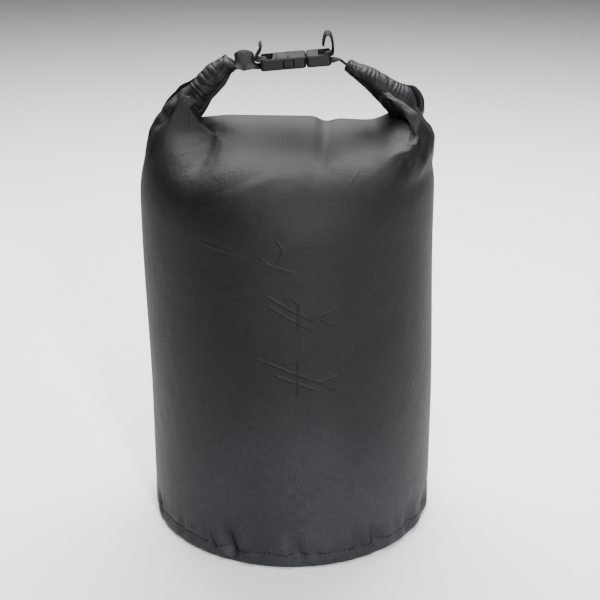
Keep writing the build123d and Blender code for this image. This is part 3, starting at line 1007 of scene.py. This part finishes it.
def grainedFinish(name):
    setup = grainedFinishes[name]
    material, tree, shader = newMaterial(name, setup["colour"], sum(setup["roughness"]) / 2,
                                         Specular_IOR_Level=setup["specular"])
    place = coordinates(tree, "Object")
    tree.links.new(bump(tree, noise(tree, place, *setup["grain"]), setup["depth"]), shader.inputs["Normal"])
    patches = noise(tree, place, *setup["patches"])
    tree.links.new(spread(tree, patches, *setup["contrast"], *setup["roughness"]), shader.inputs["Roughness"])
    return material


clothFinish = coatedPolyester()
webbing = webbingFinish()
plastic, thread, tape = (grainedFinish(name) for name in grainedFinishes)
print("materials made")

for piece in (bagBody, leftShoulder, rightShoulder, baseCloth):
    piece.data.materials.append(clothFinish)


def columnDirections(points):
    # outward direction of the cloth grid, from its own rows and columns
    along = np.roll(points, -1, axis=1) - np.roll(points, 1, axis=1)
    up = np.gradient(points, axis=0)
    return unit(np.cross(along, up))


clothOutward = columnDirections(settledCloth)
seamTree = stitchTree()
baseRow = bagCloth["seamRow"]
baseRuns = [(settledCloth[baseRow], clothOutward[baseRow], True)]
baseStitches = stitchRow("baseStitches", baseRuns, seamTree, thread)

# tape welded inside over each seam, following the cloth
innerTape = {
    "inset": 0.0006,
    "thickness": 0.0003,
    "baseLow": 0.001,
    "baseTop": 0.0232,
    "sideHalf": 0.011,
    "sideLow": 0.0186,
    "sideTop": 0.273,
}


def tapeStrip(name, rows, columns, closed):
    inside = settledCloth[np.ix_(rows, columns)] - clothOutward[np.ix_(rows, columns)] * innerTape["inset"]
    count = len(columns)
    faces = []
    for i in range(len(rows) - 1):
        for j in range(count if closed else count - 1):
            k = (j + 1) % count
            faces.append((i * count + j, i * count + k, (i + 1) * count + k, (i + 1) * count + j))
    mesh = bpy.data.meshes.new(name)
    mesh.from_pydata(inside.reshape(-1, 3).tolist(), [], faces)
    piece = linked(name, mesh)
    thicker = piece.modifiers.new("thickness", "SOLIDIFY")
    thicker.thickness = innerTape["thickness"]
    thicker.offset = -1
    subdivided(piece)
    shadeSmooth(piece.data)
    piece.data.materials.append(tape)
    return piece


seamColumn = 3 * around // 4
wallHeights = settledCloth[:, seamColumn, 2]
baseRows = np.nonzero((wallHeights > innerTape["baseLow"]) & (wallHeights < innerTape["baseTop"]))[0]
baseTape = tapeStrip("baseTape", baseRows, np.arange(around), True)
tapeColumns = round(innerTape["sideHalf"] / (2 * halfRound / around))
sideRows = np.nonzero((wallHeights > innerTape["sideLow"]) & (wallHeights < innerTape["sideTop"]))[0]
sideColumns = np.arange(seamColumn - tapeColumns, seamColumn + tapeColumns + 1)
sideTape = tapeStrip("sideTape", sideRows, sideColumns, False)

sideSeam = {"offset": 0.003, "low": 0.0186, "high": 0.273}


def sideSeamRuns():
    runs = []
    rows = [i for i, height in enumerate(wallHeights) if sideSeam["low"] - 0.001 < height < sideSeam["high"]]
    for side in (-1, 1):
        share = sideSeam["offset"] / (bagRadius * 2 * math.pi / around)
        points = settledCloth[rows, seamColumn] * (1 - share) + settledCloth[rows, seamColumn + side] * share
        runs.append((points, clothOutward[rows, seamColumn], False))
    return runs


sideStitches = stitchRow("sideStitches", sideSeamRuns(), seamTree, thread)
print("stitches made")

# webbing tabs: sewn into each roll end, under the buckle's bar, round it and into a free tail
tabWebbing = {
    "width": 0.020,
    "thickness": 0.0020,
    "root": 0.010,
    "lead": 0.003,
    "approach": 0.007,
    "barGap": 0.0026,
    "leftTail": [(0.0070, 0.0012), (-0.0005, 0.0100), (0.0015, 0.0130)],
    "rightTail": [(0.0045, 0.0010), (0.0042, 0.0140), (0.0012, 0.0172), (-0.0020, 0.0150), (-0.0032, 0.0080)],
    "leftArch": 0.0030,
    "rightArch": 0.0015,
    "leftTwist": 46,
    "rightTwist": 10,
    "columns": 9,
    "edgeThin": 0.55,
    "edgeInset": 0.4,
    "turnOn": (0.36, 0.60),  # shares of the free stretch over which the face turns, and turns back
    "turnOff": (0.88, 1.25),
}
buckleAlong = unit(rightBar - leftBar)
buckleUp = np.array([-buckleAlong[2], 0.0, buckleAlong[0]])


def tabRoute(side, tip, way, bar, outward):
    gap, tail, arch = (tabWebbing[name] for name in ("barGap", side + "Tail", side + "Arch"))
    under, over = bar - buckleUp * gap, bar + buckleUp * gap
    inner = bar - outward * gap
    lead, near = tip + way * tabWebbing["lead"], under + outward * tabWebbing["approach"]
    turnIn, turnOut = 0.0012, 0.002  # how near the bar's corners the webbing bends
    points = [tip - way * tabWebbing["root"], lead, (lead + near) / 2 + buckleUp * arch, near,
              under + outward * turnOut, under - outward * turnIn, inner - buckleUp * turnIn,
              inner + buckleUp * turnIn, over - outward * turnIn, over + outward * turnOut]
    points += [over + outward * away + buckleUp * rise for away, rise in tail]
    return points


def makeStrap(name, route, material, twist):
    # a smooth path through the route's points, then a woven strip with round edges
    curve = bpy.data.curves.new(name, "CURVE")
    curve.dimensions = "3D"
    spline = curve.splines.new("NURBS")
    spline.points.add(len(route) - 1)
    for point, place in zip(spline.points, route):
        point.co = (*place, 1)
    spline.order_u = 3
    spline.use_endpoint_u = True
    spline.resolution_u = 6
    guide = linked(name + "Guide", curve)
    line = bpy.data.meshes.new_from_object(guide.evaluated_get(bpy.context.evaluated_depsgraph_get()))
    path = np.array([v.co for v in line.vertices])
    bpy.data.objects.remove(guide)
    way = unit(np.gradient(path, axis=0))
    out = np.stack([-way[:, 2], np.zeros(len(way)), way[:, 0]], axis=1)
    run = pathLength(path)
    # the free stretch before the bar is turned, so that its face shows
    free = np.linalg.norm(route[3] - route[0])
    turnOn, turnOff = np.array(tabWebbing["turnOn"]) * free, np.array(tabWebbing["turnOff"]) * free
    roll = math.radians(twist) * smoothStep(run, *turnOn) * (1 - smoothStep(run, *turnOff))
    columns = tabWebbing["columns"]
    w, t = tabWebbing["width"] / 2, tabWebbing["thickness"] / 2
    side = np.linspace(-1, 1, columns)
    # the faces are flat and thin out towards the two edges
    lifts = t * (1 - tabWebbing["edgeThin"] * np.abs(side) ** 6)
    reaches = side * (w - t * tabWebbing["edgeInset"])
    profile = list(zip(reaches, lifts)) + [(w, 0)] + list(zip(reaches[::-1], -lifts[::-1])) + [(-w, 0)]
    count = len(profile)
    vertices, faces, uvs = [], [], []
    for p, o, angle in zip(path, out, roll):
        c, s = math.cos(angle), math.sin(angle)
        for across, lift in profile:
            vertices.append(tuple(p + o * (lift * c + across * s) + np.array([0, across * c - lift * s, 0])))
    for i in range(len(path) - 1):
        for j in range(count):
            k = (j + 1) % count
            faces.append((i * count + j, i * count + k, (i + 1) * count + k, (i + 1) * count + j))
            a, b = profile[j][0], profile[k][0]
            uvs += [(a, run[i]), (b, run[i]), (b, run[i + 1]), (a, run[i + 1])]
    for start, order in ((0, -1), ((len(path) - 1) * count, 1)):
        ring = [start + j for j in range(count)][::order]
        faces.append(tuple(ring))
        uvs += [(0, 0)] * count
    mesh = bpy.data.meshes.new(name)
    mesh.from_pydata(vertices, [], faces)
    mesh.uv_layers.new(name="cloth").data.foreach_set("uv", np.array(uvs).reshape(-1))
    piece = linked(name, mesh)
    shadeSmooth(mesh)
    mesh.materials.append(material)
    return piece


leftRoute = tabRoute("left", leftTip, leftWay, leftBar, -buckleAlong)
rightRoute = tabRoute("right", rightTip, rightWay, rightBar, buckleAlong)
leftTab = makeStrap("leftTab", leftRoute, webbing, tabWebbing["leftTwist"])
rightTab = makeStrap("rightTab", rightRoute, webbing, tabWebbing["rightTwist"])
print("tabs made")

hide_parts("body_panel", "rolled_top")
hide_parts("left_roll_end")
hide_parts("right_roll_end")
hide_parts("base_panel")
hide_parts("base_seam_thread")
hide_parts("side_seam_thread")
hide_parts("base_seam_tape")
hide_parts("side_seam_tape")
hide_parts("left_webbing_tab")
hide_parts("right_webbing_tab")
for piece in (bagBody, baseCloth, baseStitches, sideStitches, baseTape, sideTape):
    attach(piece, "bag")
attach(leftTab, "left_end")
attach(rightTab, "right_end")
# the tube was sewn from one panel, and the base from a disc
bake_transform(leftShoulder)
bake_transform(rightShoulder)

finishes = {
    "buckle_socket": plastic, "buckle_plug": plastic, "front_latch_arm": plastic, "rear_latch_arm": plastic,
    "mouth_webbing_left": webbing, "mouth_webbing_middle": webbing, "mouth_webbing_right": webbing,
    "mouth_stiffener_left": plastic, "mouth_stiffener_middle": plastic, "mouth_stiffener_right": plastic,
}
for name, material in finishes.items():
    node = frame["nodes"][name]
    for index in range(max(1, len(node.material_slots))):
        if len(node.material_slots) == 0:
            node.data.materials.append(material)
        else:
            node.material_slots[index].material = material
print("pieces riding")

# plain pale floor, soft lights and the camera
bpy.ops.mesh.primitive_plane_add(size=40)
floor = bpy.context.object
floor.name = "floor"
paleFloor, _, _ = newMaterial("paleFloor", (0.68, 0.68, 0.68), 0.8)
floor.data.materials.append(paleFloor)

studio = {
    "ambient": 0.04,
    "top": {"place": (0.05, 0.75, 1.45), "aim": (0, 0.05, 0.25), "size": (1.6, 0.9), "power": 112},
    "over": {"place": (0.0, -0.85, 1.75), "aim": (0, 0, 0.3), "size": (0.5, 0.9), "power": 34},
    "strip": {"place": (0.52, -1.9, 0.9), "aim": (0, 0, 0.2), "size": (0.16, 1.3), "power": 90},
    "right": {"place": (1.6, -0.5, 0.9), "aim": (0, 0, 0.25), "size": (0.6, 1.4), "power": 4},
}
world = bpy.data.worlds.new("studio")
bpy.context.scene.world = world
world.use_nodes = True
world.node_tree.nodes["Background"].inputs["Color"].default_value = (1, 1, 1, 1)
world.node_tree.nodes["Background"].inputs["Strength"].default_value = studio["ambient"]
for name in ("top", "over", "strip", "right"):
    setup = studio[name]
    light = bpy.data.lights.new(name + "Light", "AREA")
    light.shape = "RECTANGLE"
    light.size, light.size_y = setup["size"]
    light.energy = setup["power"]
    lamp = linked(name + "Light", light)
    lamp.location = setup["place"]
    lamp.rotation_euler = (Vector(setup["aim"]) - Vector(setup["place"])).to_track_quat("-Z", "Y").to_euler()

view = {"lens": 86.6, "sensor": 36, "place": (0.007, -1.138, 0.644), "pitch": 21.7}
lens = bpy.data.cameras.new("camera")
lens.lens = view["lens"]
lens.sensor_width = view["sensor"]
camera = linked("camera", lens)
camera.location = view["place"]
camera.rotation_euler = (math.radians(90 - view["pitch"]), 0, 0)
bpy.context.scene.camera = camera
